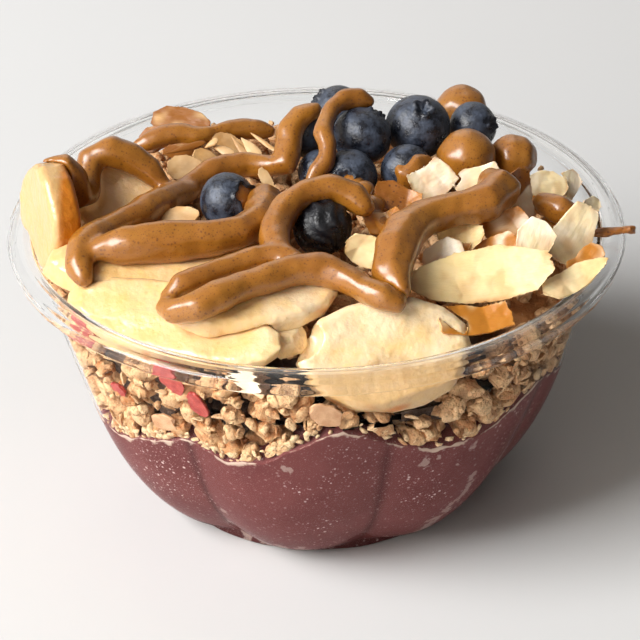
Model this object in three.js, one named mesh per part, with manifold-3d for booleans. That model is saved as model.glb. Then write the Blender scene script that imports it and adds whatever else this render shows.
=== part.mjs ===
// Acai bowl: a clear lobed bowl filled with acai, granola, banana, berries,
// coconut chips, almond flakes and ropes of nut butter.
// Millimetres, +Z up. The origin is the centre of the bowl's flat underside,
// and -Y is the front.
import * as THREE from 'three';
import { mergeVertices } from 'three/addons/utils/BufferGeometryUtils.js';
import Module from 'manifold-3d';

const wasm = await Module();
wasm.setup();

// ---------------------------------------------------------------- dimensions
const BASE_RADIUS = 47.4; // flat ring the bowl stands on
const WALL = 0.8; // thickness of the clear sheet
const LOBES = 8; // petals round the body
const LOBE_SEGMENTS = 5; // facets across one petal
const FIRST_VALLEY = 15; // degrees right of the front, where two petals meet
const GAP = 0.35; // clearance between pieces that touch

// Outer face of the body: height, radius on a petal's crest, radius in a valley.
const BODY = [
  [0, BASE_RADIUS - 1, BASE_RADIUS - 1],
  [0.8, BASE_RADIUS, BASE_RADIUS],
  [2.6, BASE_RADIUS + 0.1, BASE_RADIUS],
  [3.4, 52.5, 47.7],
  [5.5, 54.9, 48.5],
  [10, 59.1, 53.2],
  [17, 64.2, 59.3],
  [28, 70.2, 65.8],
  [42, 75.2, 71.2],
  [58, 79.0, 76.9],
  [72, 82.0, 81.6],
  [83, 84.2, 84.2],
];
// Rim above the body: radius and height, up the inner side and down the skirt.
const RIM_UNDERSIDE = [[84.9, 87.7], [88.8, 87.6], [91.2, 86.2], [90.2, 83]];
const RIM_TOP = [[91, 83], [92.3, 86.7], [91.4, 87.7], [89.3, 88.5], [85.6, 88.6]];

// Edge of the acai against the wall: degrees right of the front, height.
const ACAI_EDGE = [
  [-180, 50], [-160, 58], [-140, 49], [-118, 55], [-97, 46], [-75, 50],
  [-58, 42], [-44, 47], [-30, 56], [-17, 47], [-6, 60], [3, 67], [9, 73],
  [15, 58], [26, 53], [37, 51], [50, 60], [60, 58], [74, 50], [92, 44],
  [108, 55], [128, 47], [150, 56], [180, 50],
];
const ACAI_MIDDLE = 52; // height of the acai under the middle of the granola

const HEAP_TOP = 86; // top of the granola's core
const HEAP_FALL = 5.5; // how much lower the core is near the wall
const CORE_INSET = 2.8; // the core stops this far inside the wall
const NUGGET = 6; // half the size of a usual cluster

const SLICE_EDGE = 1.3; // rounding of a banana slice's edge
const CHIP_THICKNESS = 1.3;
const FLAKE_THICKNESS = 1.2;

// ------------------------------------------------------------------- helpers
const radians = THREE.MathUtils.degToRad;

function randomFrom(seed) {
  let state = seed * 7919 + 17;
  return () => {
    state = (state * 16807) % 2147483647;
    return state / 2147483647;
  };
}

// Calls change on every corner of a geometry; equal corners stay equal.
function reshape(geometry, change) {
  const corners = geometry.getAttribute('position');
  const p = new THREE.Vector3();
  for (let i = 0; i < corners.count; i += 1) {
    p.fromBufferAttribute(corners, i);
    change(p, i);
    corners.setXYZ(i, p.x, p.y, p.z);
  }
  return geometry;
}

function toSolid(geometry) {
  const bare = geometry.clone();
  bare.deleteAttribute('normal');
  bare.deleteAttribute('uv');
  const merged = mergeVertices(bare, 1e-4);
  return new wasm.Manifold(new wasm.Mesh({
    numProp: 3,
    vertProperties: new Float32Array(merged.getAttribute('position').array),
    triVerts: new Uint32Array(merged.index.array),
  }));
}

function toGeometry(solid) {
  const mesh = solid.getMesh();
  const g = new THREE.BufferGeometry();
  g.setAttribute('position', new THREE.BufferAttribute(mesh.vertProperties, 3));
  g.setIndex(new THREE.BufferAttribute(mesh.triVerts, 1));
  g.computeVertexNormals();
  return g;
}

const largest = (solid) => solid.decompose().sort((a, b) => b.volume() - a.volume())[0];

function boxesMeet(a, b) {
  const [p, q] = [a.boundingBox(), b.boundingBox()];
  return [0, 1, 2].every((k) => p.min[k] < q.max[k] && q.min[k] < p.max[k]);
}

const crosses = (a, b) => boxesMeet(a, b) && !a.intersect(b).isEmpty();

// Value between stations of [place, value].
function interpolate(stations, place) {
  const last = stations.length - 1;
  let i = 1;
  while (i < last && stations[i][0] < place) i += 1;
  const [low, high] = [stations[i - 1], stations[i]];
  const t = THREE.MathUtils.clamp((place - low[0]) / (high[0] - low[0]), 0, 1);
  return low[1] + (high[1] - low[1]) * t;
}

// Point at a heading, in degrees right of the front, a radius from the axis.
function around(heading, radius, height) {
  return [radius * Math.sin(radians(heading)), -radius * Math.cos(radians(heading)), height];
}

// Moves each corner of a lathe to section(ring, heading), which gives [radius, height].
function turned(outline, segments, section) {
  const lathe = new THREE.LatheGeometry(outline, segments).rotateX(Math.PI / 2);
  return reshape(lathe, (p, i) => {
    const turn = Math.floor(i / outline.length) % segments * 360 / segments + FIRST_VALLEY;
    const heading = turn > 180 ? turn - 360 : turn;
    p.set(...around(heading, ...section(i % outline.length, heading)));
  });
}

// Outline of a closed round solid: it starts and ends on the axis.
const axisToAxis = (rings) => Array.from({ length: rings }, (_, j) => (
  new THREE.Vector2(j === 0 || j === rings - 1 ? 0 : 1, j)));

// Outline of a ring round the axis: it ends where it starts.
const closedLoop = (rings) => Array.from({ length: rings + 1 }, (_, j) => {
  const angle = (j % rings) / rings * 2 * Math.PI;
  return new THREE.Vector2(2 + Math.cos(angle), Math.sin(angle));
});

// Turns a piece so that its +Z leans towards a heading, then moves it.
// spin turns it about its own axis first.
function placed(geometry, { at, toward = 0, lean = 0, spin = 0 }) {
  geometry.rotateZ(radians(spin));
  geometry.rotateX(radians(lean));
  geometry.rotateZ(radians(toward));
  return geometry.translate(...at);
}

// ---------------------------------------------------------------------- bowl
const PETAL_SEGMENTS = LOBES * LOBE_SEGMENTS;

// 0 in a valley between two petals, 1 on a crest.
const crestShare = (heading) => Math.abs(Math.sin(radians(heading - FIRST_VALLEY) * LOBES / 2));

// Moves a line of [radius, height] points to its left by a distance.
function offset(line, distance) {
  return line.map(([r, z], i) => {
    const [r0, z0] = line[Math.max(i - 1, 0)];
    const [r1, z1] = line[Math.min(i + 1, line.length - 1)];
    const length = Math.hypot(r1 - r0, z1 - z0);
    return [r - (z1 - z0) / length * distance, z + (r1 - r0) / length * distance];
  });
}

// The body's face at a distance in from the outer face, as a line of points.
function bodyFace(inwards, heading) {
  const crest = offset(BODY.map(([z, radius]) => [radius, z]), inwards);
  const valley = offset(BODY.map(([z, , radius]) => [radius, z]), inwards);
  const share = crestShare(heading);
  return crest.map((point, i) => point.map((value, k) => valley[i][k] + (value - valley[i][k]) * share));
}

function bowlGeometry() {
  const inner = BODY.length - 1;
  const rings = 1 + BODY.length + RIM_UNDERSIDE.length + RIM_TOP.length + inner + 1;
  return turned(axisToAxis(rings), PETAL_SEGMENTS, (ring, heading) => [
    [0, 0],
    ...bodyFace(0, heading),
    ...RIM_UNDERSIDE,
    ...RIM_TOP,
    ...bodyFace(WALL, heading).slice(1).reverse(),
    [0, WALL],
  ][ring]);
}

// Radius of the room that food may fill, at a height and heading.
function roomRadius(height, heading, inset = 0) {
  const face = bodyFace(WALL + GAP, heading).slice(1);
  return interpolate(face.map(([radius, z]) => [z, radius]), height) - inset;
}

// What food near the wall is cut back to: the wall and the rim with their clearance.
// Its facets run as those of the bowl's inner face do, so the clearance is even.
function wallKeepOut() {
  const [ridge, inside] = RIM_TOP.slice(-2);
  const outside = RIM_TOP[1][0] + 8;
  const lowest = 5; // station of the body under the lowest topping
  const over = [
    [outside, BODY[lowest][0]],
    [outside, RIM_TOP[1][1] + GAP],
    [ridge[0] + GAP, ridge[1] + GAP],
    [inside[0] - GAP, inside[1] + GAP],
  ];
  const rings = over.length + BODY.length - lowest;
  return toSolid(turned(closedLoop(rings), PETAL_SEGMENTS, (ring, heading) => [
    ...over,
    ...bodyFace(WALL + GAP, heading).slice(lowest).reverse(),
  ][ring % rings]));
}

// ---------------------------------------------------------------------- acai
const acaiEdge = (heading) => interpolate(ACAI_EDGE, heading);

// grow lifts the top face and widens the sides, for the clearance of what lies on it.
function acaiGeometry(grow = 0) {
  const foot = [[0, WALL + GAP], [BASE_RADIUS - 4, WALL + GAP], [BASE_RADIUS - 2, 4.4]];
  const sides = 8; // rings from the foot to the edge
  const inwards = [0.9, 0.55]; // rings across the top, as shares of the radius
  const rings = 1 + sides + inwards.length + 1;
  const lowest = 6; // height of the first ring on the petals
  const facetRoom = 0.6; // its facets and the wall's cross, so it stands this much clearer
  return turned(axisToAxis(rings), PETAL_SEGMENTS, (ring, heading) => {
    const edge = acaiEdge(heading);
    if (ring < foot.length) return foot[ring];
    if (ring === rings - 1) return [0, ACAI_MIDDLE + grow];
    if (ring <= sides) {
      const climb = (ring - foot.length) / (sides - foot.length);
      const height = lowest + (edge - lowest) * climb ** 1.5;
      return [roomRadius(height, heading, facetRoom - grow), height + (ring === sides ? grow : 0)];
    }
    const share = inwards[ring - sides - 1];
    const height = ACAI_MIDDLE + (edge - ACAI_MIDDLE) * share ** 2;
    return [roomRadius(edge, heading) * share, height + grow];
  });
}

// ------------------------------------------------------------------- granola
const coreTop = (radius) => HEAP_TOP - HEAP_FALL * (radius / 80) ** 3;

function granolaCore(grow = 0) {
  const sides = 3;
  const inwards = [0.96, 0.6];
  const rings = 1 + sides + inwards.length + 1;
  const shoulder = 77; // height where the side turns into the top
  return toSolid(turned(axisToAxis(rings), 32, (ring, heading) => {
    if (ring === 0) return [0, ACAI_MIDDLE + 1];
    if (ring === rings - 1) return [0, HEAP_TOP + grow];
    if (ring <= sides) {
      const low = Math.max(acaiEdge(heading), ACAI_MIDDLE) + 2;
      const height = low + (shoulder - low) * (ring - 1) / (sides - 1);
      return [roomRadius(height, heading, CORE_INSET) + grow, height];
    }
    const radius = (roomRadius(shoulder, heading) - CORE_INSET) * inwards[ring - sides - 1];
    return [radius + grow, coreTop(radius) + grow];
  }));
}

// A lump of baked oats with its own proportions and turn.
function nugget(size, at, random) {
  const lump = new THREE.IcosahedronGeometry(size, 0);
  lump.scale(0.85 + 0.4 * random(), 0.75 + 0.35 * random(), 0.7 + 0.35 * random());
  lump.rotateX(2 * Math.PI * random());
  lump.rotateY(2 * Math.PI * random());
  lump.rotateZ(2 * Math.PI * random());
  return lump.translate(...at);
}

// Rows of nuggets against the wall, from the acai's edge up to the rim, with their headings.
function wallNuggets() {
  const random = randomFrom(11);
  const perRow = 18;
  const rowStep = 10.5;
  const rows = 3;
  const lumps = [];
  for (let row = 0; row < rows; row += 1) {
    for (let i = 0; i < perRow; i += 1) {
      const turn = (i + (row % 2) / 2 + 0.3 * random()) * 360 / perRow;
      const heading = turn > 180 ? turn - 360 : turn;
      const size = NUGGET * (0.85 + 0.35 * random());
      const height = acaiEdge(heading) + size * 0.5 + row * rowStep + 2 * random();
      if (height < 79) {
        const radius = roomRadius(height - size / 2, heading, size);
        lumps.push([nugget(size, around(heading, radius, height), random), heading]);
      }
    }
  }
  return lumps;
}

// Nuggets spread over the outer part of the heap's top, with their headings.
function topNuggets() {
  const random = randomFrom(5);
  const goldenAngle = 137.5;
  const count = 13;
  return Array.from({ length: count }, (_, i) => {
    const radius = 75 * Math.sqrt((i + 6) / (count + 6));
    const size = NUGGET * (0.6 + 0.4 * random());
    const heading = i * goldenAngle;
    return [nugget(size, around(heading, radius, coreTop(radius) + size * 0.35), random), heading];
  });
}

// Dried red fruit against the wall: heading, height, half length, turn from level.
const RED_FRUIT = [[-60, 77, 6, 25], [-40, 71, 6.5, 65], [-31, 66, 5.5, 75], [-55, 61, 3.2, 10]];

function redFruit() {
  const thin = 2.3;
  return RED_FRUIT.map(([heading, height, half, turn]) => {
    const piece = new THREE.IcosahedronGeometry(half, 0);
    piece.scale(1, thin / half, thin / half * 1.2);
    piece.rotateY(radians(turn));
    piece.rotateZ(radians(heading));
    piece.translate(...around(heading, roomRadius(height, heading, thin + 0.4), height));
    return [piece, heading];
  });
}

// Moves a lump in from the wall, a little at a time, until it clears its neighbours.
function nudgedClear([lump, heading], neighbours) {
  const step = 1.2;
  for (let tries = 0; tries < 5; tries += 1) {
    const solid = toSolid(lump);
    if (!neighbours.some((other) => crosses(solid, other))) return solid;
    lump.translate(...around(heading, -step, 0));
  }
  return null;
}

// -------------------------------------------------------------------- banana
// size: half length and half width of the cut face; thick: thickness;
// skew: sideways slant of the edge, as a share of the thickness.
const BANANAS = {
  banana_upright: { at: [-77.5, -13, 97], toward: -64, lean: 84, size: [16, 15.5], thick: 9 },
  banana_back: { at: [-59, 10, 91.5], toward: 4, lean: 46, size: [15.5, 14], thick: 8 },
  banana_upper: { at: [-46.5, -30, 90.5], toward: 5, lean: 12, size: [31, 14], thick: 8, skew: 0.5 },
  banana_lower: { at: [-41, -57, 86], toward: -27, lean: 28, size: [34, 12], thick: 8, skew: 0.5 },
  banana_middle: { at: [-16.5, -56.5, 93], toward: 18, lean: 14, size: [24, 12], thick: 7, skew: 0.4 },
  banana_end: { at: [-6, -67, 86], toward: 10, lean: 40, size: [7, 6], thick: 7 },
  banana_front: { at: [18.5, -66.5, 81], toward: 9, lean: 50, size: [24.5, 16], thick: 8 },
};

function slice({ size, thick, skew = 0, ...pose }, grow = 0) {
  const half = thick / 2 + grow;
  const radius = size[1] + grow;
  const profile = [
    [0, -half], [radius - SLICE_EDGE, -half], [radius, SLICE_EDGE - half],
    [radius, half - SLICE_EDGE], [radius - SLICE_EDGE, half], [0, half],
  ];
  const disc = new THREE.LatheGeometry(profile.map((p) => new THREE.Vector2(...p)), 16);
  disc.rotateX(Math.PI / 2);
  const stretch = (size[0] + grow) / radius;
  reshape(disc, (p) => {
    const angle = Math.atan2(p.y, p.x);
    const uneven = 1 + 0.03 * Math.sin(3 * angle + size[0]) + 0.02 * Math.sin(5 * angle);
    p.x = p.x * stretch * uneven + skew * p.z;
    p.y *= uneven;
    p.z += 0.5 * Math.sin(p.x / 6);
  });
  return placed(disc, pose);
}

// --------------------------------------------------------------- blueberries
// centre, radius, and which way the crown looks: heading and lean from upright.
const BERRIES = {
  blueberry_left: { at: [-25.9, -3.7, 96], radius: 8.7, toward: 55, lean: 62 },
  blueberry_dark: { at: [1.8, -22, 97], radius: 8.2, toward: -150, lean: 60, tall: 1.1 },
  blueberry_far: { at: [7, 56, 95.5], radius: 8.7, toward: -100, lean: 50 },
  blueberry_high: { at: [14.2, 26, 102.1], radius: 9.2, toward: 130, lean: 40 },
  blueberry_big: { at: [31.6, 35.6, 100.2], radius: 10.2, toward: 20, lean: 28 },
  blueberry_right: { at: [49, 41, 97.5], radius: 7.7, toward: 60, lean: 70 },
  blueberry_behind: { at: [-4.1, 38.6, 97], radius: 7.5, toward: -60, lean: 60 },
  blueberry_low: { at: [1.6, 25, 90], radius: 7.3, toward: -30, lean: 90 },
  blueberry_crown: { at: [10, 9.5, 96.5], radius: 8.6, toward: -8, lean: 62 },
  blueberry_tucked: { at: [27.2, 14, 96.5], radius: 8, toward: 30, lean: 100 },
  blueberry_coated: { at: [45.8, 19.1, 97.5], radius: 8, toward: -20, lean: 70 },
  blueberry_edge: { at: [60.4, 24.8, 94.5], radius: 6.4, toward: 80, lean: 80 },
  blueberry_capped: { at: [46.2, 56.3, 94.5], radius: 7.7, toward: 100, lean: 50 },
};

function berry({ radius, tall = 1, ...pose }, grow = 0) {
  const ball = new THREE.SphereGeometry(radius + grow, 9, 6).rotateX(Math.PI / 2);
  reshape(ball, (p) => {
    const crown = p.z > 0.95 * (radius + grow);
    p.z *= crown ? 0.74 : 0.95 * tall;
  });
  return placed(ball, pose);
}

// ------------------------------------------------------- coconut and almonds
// size: length and width; bend: how far the ends rise; taper: narrowing towards +X.
const CHIPS = {
  coconut_square: { at: [34.2, 2.6, 99], toward: 5, lean: 60, spin: 35, size: [14, 12], bend: 1 },
  coconut_dipped: { at: [24.1, -6.7, 98], toward: -5, lean: 50, spin: -8, size: [15, 9], bend: 1 },
  coconut_ridge: { at: [48.2, 3.2, 98.5], toward: -5, lean: 58, spin: 32, size: [15, 9], bend: 1.5 },
  coconut_tall: { at: [60, -3, 97], toward: 32, lean: 66, spin: 80, size: [16, 10], bend: 2 },
  coconut_hidden: { at: [69, 6, 94.5], toward: 20, lean: 45, spin: -15, size: [14, 9], bend: 1 },
  coconut_back: { at: [76, 9, 93], toward: 50, lean: 60, spin: 25, size: [11, 8], bend: 2 },
  coconut_rim: { at: [80.5, -5, 92], toward: 75, lean: 50, spin: -10, size: [15, 6], bend: 2 },
  coconut_big: {
    at: [46, -46.5, 93.5], toward: 4, lean: 42, spin: 3, size: [43, 16], bend: 3, taper: -0.15,
  },
  coconut_fork: {
    at: [62, -33, 95.5], toward: 5, lean: 58, spin: 62, size: [17, 10], bend: 1.5, taper: -0.5,
  },
  coconut_toasted: {
    at: [54.4, -22.3, 97.5], toward: -10, lean: 52, spin: 40, size: [14, 11], bend: 1.5, taper: 0.5,
  },
  coconut_amber: { at: [60.5, -39, 91.5], toward: 30, lean: 50, spin: 40, size: [12, 10], bend: 1 },
  coconut_curl: { at: [41.4, -28.5, 96], lean: 35, spin: 6, size: [14, 9], bend: 4 },
  coconut_glazed: { at: [49, -31.5, 94], toward: 5, lean: 42, spin: 8, size: [20, 9], bend: 2 },
  coconut_pale: { at: [36, -36, 94.5], toward: -10, lean: 45, spin: 12, size: [13, 10], bend: 1 },
  coconut_long: {
    at: [73, -43.5, 91.5], toward: 20, lean: 25, spin: 14, size: [25, 8], bend: 2, taper: 0.6,
  },
  coconut_slip: { at: [76.5, -33.5, 91.5], toward: 10, lean: 30, spin: 25, size: [14, 7], bend: 1 },
  coconut_front: { at: [43.5, -59.5, 88], toward: 15, lean: 35, spin: 2, size: [22, 10], bend: 2 },
  coconut_side: { at: [19.3, -19.4, 97], toward: 10, lean: 40, spin: 18, size: [12, 8], bend: 3 },
  coconut_stub: { at: [13.8, -31.5, 94], toward: 5, lean: 58, spin: -40, size: [13, 10], bend: 1.5 },
  coconut_white: {
    at: [74.5, -22, 93.5], toward: 22, lean: 55, spin: 55, size: [20, 13], bend: 2, taper: 0.2,
  },
  coconut_splinter: {
    at: [-20.5, -74, 79.5], toward: -16, lean: 76, spin: -38, size: [17, 6], bend: 0.5, taper: 0.6,
  },
  coconut_stick: { at: [86.5, -15.5, 90.8], spin: 6, size: [14, 2.4], bend: 0.2 },
};

const FLAKES = {
  almond_large: { at: [-42.5, 57.5, 92], toward: -12, lean: 34, spin: -4, size: [21, 11] },
  almond_left: { at: [-50, 46.5, 91.5], toward: -30, lean: 40, spin: 20, size: [13, 10] },
  almond_edge: { at: [-41, 36.5, 92.5], lean: 72, spin: 4, size: [14, 5] },
  almond_pale: { at: [-39.5, 25.5, 92], toward: 10, lean: 42, spin: -10, size: [13, 9] },
  almond_chip: { at: [-33.5, 31.5, 92], toward: 30, lean: 55, spin: -40, size: [10, 6] },
  almond_stack: { at: [-27, 41.5, 92], toward: 20, lean: 50, spin: -30, size: [12, 7] },
  almond_sliver: { at: [-14.4, 12.3, 93.5], toward: 10, lean: 62, spin: -68, size: [11, 4] },
  almond_slip: { at: [-39.8, -8.8, 93.5], lean: 35, spin: 12, size: [12, 8] },
};

function chip({ size, bend = 0, taper = 0, ...pose }, grow = 0) {
  const [length, width] = size;
  const [long, wide, thick] = [length, width, CHIP_THICKNESS].map((side) => side + 2 * grow);
  const sheet = new THREE.BoxGeometry(long, wide, thick, 3, 2, 1);
  const phase = length * 1.7 + width;
  reshape(sheet, (p) => {
    const [u, v] = [p.x / length, p.y / width].map((s) => THREE.MathUtils.clamp(2 * s, -1, 1));
    p.y *= 1 - taper * u / 2 - 0.25 * u * u + 0.1 * Math.sin(3 * u + phase);
    p.y += 0.08 * width * Math.sin(2 * u + phase);
    p.x *= 1 - 0.15 * v * v * (1 + Math.cos(phase + v));
    p.z += bend * (u * u - 0.4) + 0.5 * Math.sin(2.2 * u + v + phase);
  });
  return placed(sheet, pose);
}

function flake({ size, ...pose }, grow = 0) {
  const thickness = FLAKE_THICKNESS + 2 * grow;
  const disc = new THREE.CylinderGeometry(0.5, 0.5, thickness, 10).rotateX(Math.PI / 2);
  reshape(disc, (p) => {
    const u = p.x * 2;
    p.x *= size[0] + 2 * grow;
    p.y *= (size[1] + 2 * grow) * (1 - 0.25 * u);
    p.z += 0.5 * Math.sin(1.5 * u);
  });
  return placed(disc, pose);
}

// ---------------------------------------------------------------- nut butter
// Ropes that were poured over the toppings. Each has a radius and a centre line;
// ropes of one node run into each other.
const ROPES = {
  nut_butter_left: [
    {
      radius: 4.7,
      line: [[-80, -7, 110], [-75, -8.5, 112], [-71.5, -7.5, 107], [-70, -6.5, 99],
        [-68.5, -5.5, 96], [-67.5, 0, 99], [-67.5, 7, 103], [-65, 9.5, 106],
        [-59.5, 9.5, 106], [-54, 10, 103], [-49.5, 9, 99.5], [-45, 7, 95]],
    },
    {
      radius: 4.6,
      line: [[-35, 11, 92.5], [-41.5, 4.5, 93.5], [-46.5, -3, 95], [-53, -12.5, 96.5], [-60, -21.5, 97],
        [-65, -29.5, 97.5], [-68, -36.5, 96.5], [-66.5, -42.5, 94.5], [-65, -46, 93]],
    },
    {
      radius: 4.3,
      line: [[-47, 6, 92], [-39.5, 11, 92], [-34, 18, 93], [-25, 24.5, 93],
        [-16.5, 24.5, 93], [-10.5, 19.5, 94], [-8.5, 25.5, 97], [-7.5, 32, 101],
        [-3, 37, 104.5], [2, 39, 105.5]],
    },
    {
      radius: 6,
      line: [[-64, -36, 98], [-56.5, -34.5, 98.5], [-47.5, -33, 98.5], [-35, -31.5, 98.5],
        [-24, -29, 98.5], [-17.5, -22.5, 98], [-14.5, -9, 96.5], [-18, 4, 95]],
    },
  ],
  nut_butter_back: [{
    radius: 3.4,
    line: [[-57, 39.5, 92], [-51.5, 40, 94], [-44.5, 43, 95], [-36, 42.5, 94],
      [-28, 46.5, 94], [-20.5, 49.5, 93], [-12.5, 49.5, 92]],
  }],
  nut_butter_front: [
    {
      radius: 4,
      line: [[-42, -61, 96], [-37.5, -57.5, 98.5], [-31.5, -54, 99.5], [-23.5, -49, 99.5],
        [-15, -45.5, 100], [-8, -46, 100.5], [-2, -50, 100.5]],
    },
    {
      radius: 4.6,
      line: [[-43.5, -62, 94.5], [-36.5, -68.5, 96.5], [-28.5, -66, 99], [-21, -60.5, 100],
        [-14.5, -57.5, 100.5], [-7.5, -53.5, 100.5], [0, -51.5, 100.5], [5.5, -53, 99.5],
        [10.5, -57, 98], [16, -61.5, 97.5], [24, -64, 95]],
    },
    {
      radius: 4.6,
      line: [[-6, -48, 100.5], [-10.5, -43, 101], [-12, -33.5, 101.5], [-9.5, -25, 103.5],
        [-6, -20.5, 105.5], [-0.5, -17.5, 107], [6.5, -16, 106.5], [12, -17.5, 103.5],
        [15.5, -21, 100.5]],
    },
  ],
  nut_butter_right: [{
    radius: 6,
    line: [[23, -62.5, 97], [20.5, -55, 99], [22, -45, 101.5], [26, -34.5, 103],
      [33, -27, 103.5], [41, -24, 103.5], [49.5, -21.5, 104], [53.5, -13, 104],
      [50, -5, 104]],
  }],
  nut_butter_berries: [{
    radius: 3.1,
    line: [[-2, 1, 99], [0.5, 4.5, 101.5], [4, 8, 105], [2.5, 15, 109], [5.5, 26, 112],
      [12, 32, 112.5], [18, 32, 110]],
  }],
  nut_butter_side: [{ radius: 4.6, line: [[65, -3.5, 95], [70.5, -9.5, 95.5], [76, -12.5, 94]] }],
};
const ROPE_SIDES = 6;

// A rope swells and thins a little along its way and is round at its ends.
function rope({ radius, line }) {
  const path = new THREE.CatmullRomCurve3(line.map((p) => new THREE.Vector3(...p)));
  const steps = Math.max(3, Math.round(path.getLength() / (radius * 1.5)));
  const section = new THREE.Shape(new THREE.EllipseCurve(0, 0, radius, radius).getPoints(ROPE_SIDES));
  const tube = new THREE.ExtrudeGeometry(section, { steps, extrudePath: path });
  const centres = path.getSpacedPoints(steps);
  const nearest = (p) => centres.reduce((best, c, i) => (
    c.distanceToSquared(p) < centres[best].distanceToSquared(p) ? i : best), 0);
  return reshape(tube, (p) => {
    const i = nearest(p);
    const end = i === 0 || i === steps ? 0.55 : 1;
    p.sub(centres[i]).multiplyScalar(end * (1 + 0.12 * Math.sin(i * 1.3 + radius * 5)));
    p.add(centres[i]);
  });
}

// -------------------------------------------------------------- the assembly
const bowl = new THREE.Group();

function add(name, geometry, color, roughness, opacity = 1) {
  const material = new THREE.MeshStandardMaterial({
    color, roughness, metalness: 0, opacity, transparent: opacity < 1,
  });
  const mesh = new THREE.Mesh(geometry, material);
  mesh.name = name;
  bowl.add(mesh);
}

// The granola's core with hollows for the pieces at the wall that it was heaped round.
function hollowedCore(grow, clearance) {
  const heapedRound = [
    slice(BANANAS.banana_front, clearance),
    slice(BANANAS.banana_lower, clearance),
    slice(BANANAS.banana_end, clearance),
    chip(CHIPS.coconut_splinter, clearance),
  ];
  return wasm.Manifold.difference([granolaCore(grow), ...heapedRound.map(toSolid)]);
}

// Pieces in place, each a little larger than it is: what a later piece is cut clear of.
const settled = [wallKeepOut(), toSolid(acaiGeometry(GAP)), hollowedCore(GAP, 0)];

function settle(name, piece, larger, color, roughness) {
  let solid = piece;
  for (const other of settled) {
    if (boxesMeet(solid, other)) solid = solid.subtract(other);
  }
  settled.push(larger);
  add(name, toGeometry(largest(solid)), color, roughness);
}

// The core with every nugget and fruit that clears the bowl and the toppings.
// Those at the acai's edge are bedded in it, so the heap is cut along it.
function granolaSolid() {
  const [keepOut, acai, , ...over] = settled;
  const shown = [...redFruit(), ...wallNuggets(), ...topNuggets()]
    .map((lump) => nudgedClear(lump, [keepOut, ...over]))
    .filter((lump) => lump !== null);
  return largest(wasm.Manifold.union([hollowedCore(0, GAP), ...shown]).subtract(acai));
}

add('bowl', bowlGeometry(), 0xe9eef0, 0.1, 0.3);
add('acai', acaiGeometry(), 0x6b3a3f, 0.5);

const toppings = [
  [BANANAS, slice, 0xf3dfae, 0.5],
  [BERRIES, berry, 0x2d3a52, 0.45],
  [CHIPS, chip, 0xf1dcae, 0.6],
  [FLAKES, flake, 0xe6c794, 0.6],
];
for (const [pieces, shape, color, roughness] of toppings) {
  for (const [name, piece] of Object.entries(pieces)) {
    settle(name, toSolid(shape(piece)), toSolid(shape(piece, GAP)), color, roughness);
  }
}
for (const [name, ropes] of Object.entries(ROPES)) {
  const solid = wasm.Manifold.union(ropes.map((piece) => toSolid(rope(piece))));
  const wider = ropes.map((piece) => toSolid(rope({ ...piece, radius: piece.radius + GAP })));
  settle(name, solid, wasm.Manifold.union(wider), 0xa8692c, 0.35);
}
add('granola', toGeometry(granolaSolid()), 0xc49a62, 0.8);

export default bowl;
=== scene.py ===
# %% [markdown]
# # An acai bowl
# A clear bowl with eight petals holds a frozen acai blend, a heap of granola, and
# toppings: banana, blueberries, coconut chips, almond flakes and ropes of nut butter.
# The solids come in as a fixed frame. Every piece made here either dresses one of
# them or stands for it, and lies where it lies.

import math
import random

import bpy
import numpy as np
from mathutils import Matrix, Vector, noise
from mathutils.bvhtree import BVHTree


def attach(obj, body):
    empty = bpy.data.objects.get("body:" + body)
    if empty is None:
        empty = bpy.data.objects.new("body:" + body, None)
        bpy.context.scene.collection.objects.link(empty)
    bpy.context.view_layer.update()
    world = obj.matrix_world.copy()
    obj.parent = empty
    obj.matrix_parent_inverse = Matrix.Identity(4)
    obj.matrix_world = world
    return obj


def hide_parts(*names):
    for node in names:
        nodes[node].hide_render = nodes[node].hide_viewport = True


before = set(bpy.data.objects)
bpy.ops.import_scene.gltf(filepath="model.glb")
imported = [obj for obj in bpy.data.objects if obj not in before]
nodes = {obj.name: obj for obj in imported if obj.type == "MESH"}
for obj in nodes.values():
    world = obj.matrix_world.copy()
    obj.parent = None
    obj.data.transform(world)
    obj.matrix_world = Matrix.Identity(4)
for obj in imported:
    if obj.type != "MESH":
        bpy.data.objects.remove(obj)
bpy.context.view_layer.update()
print("solids in the frame:", len(nodes))

# %% [markdown]
# ## Hands
# A handful of small helpers do what hands do at the screen: pick one object alone,
# copy a solid, apply a modifier. Lengths are written in millimetres times MM,
# because Blender counts in metres.

# %% Helpers for meshes
MM = 0.001


def solids(start):
    """The names of the solids that begin so."""
    return [name for name in nodes if name.startswith(start)]


def alone(obj):
    """Selects one object and nothing else."""
    bpy.ops.object.select_all(action="DESELECT")
    obj.select_set(True)
    bpy.context.view_layer.objects.active = obj
    return obj


def editing(obj, *steps):
    """Runs steps in edit mode on the whole mesh of one object."""
    alone(obj)
    bpy.ops.object.mode_set(mode="EDIT")
    bpy.ops.mesh.select_all(action="SELECT")
    for step in steps:
        step()
    bpy.ops.object.mode_set(mode="OBJECT")
    return obj


def modify(obj, kind, **settings):
    """Adds one modifier and applies it."""
    made = obj.modifiers.new(kind, kind)
    for name, value in settings.items():
        setattr(made, name, value)
    alone(obj)
    bpy.ops.object.modifier_apply(modifier=made.name)
    return obj


def merge_corners():
    bpy.ops.mesh.remove_doubles(threshold=0.01 * MM)


def to_quads():
    bpy.ops.mesh.tris_convert_to_quads(face_threshold=math.radians(60),
                                       shape_threshold=math.radians(180))


def new_object(name, data):
    made = bpy.data.objects.new(name, data)
    bpy.context.scene.collection.objects.link(made)
    return made


def copied(node, name):
    """A new piece that starts as the shape of a solid, with its loose triangles merged."""
    piece = new_object(name, nodes[node].data.copy())
    piece.data.materials.clear()
    alone(piece)
    bpy.ops.mesh.customdata_custom_splitnormals_clear()
    return editing(piece, merge_corners)


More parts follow.
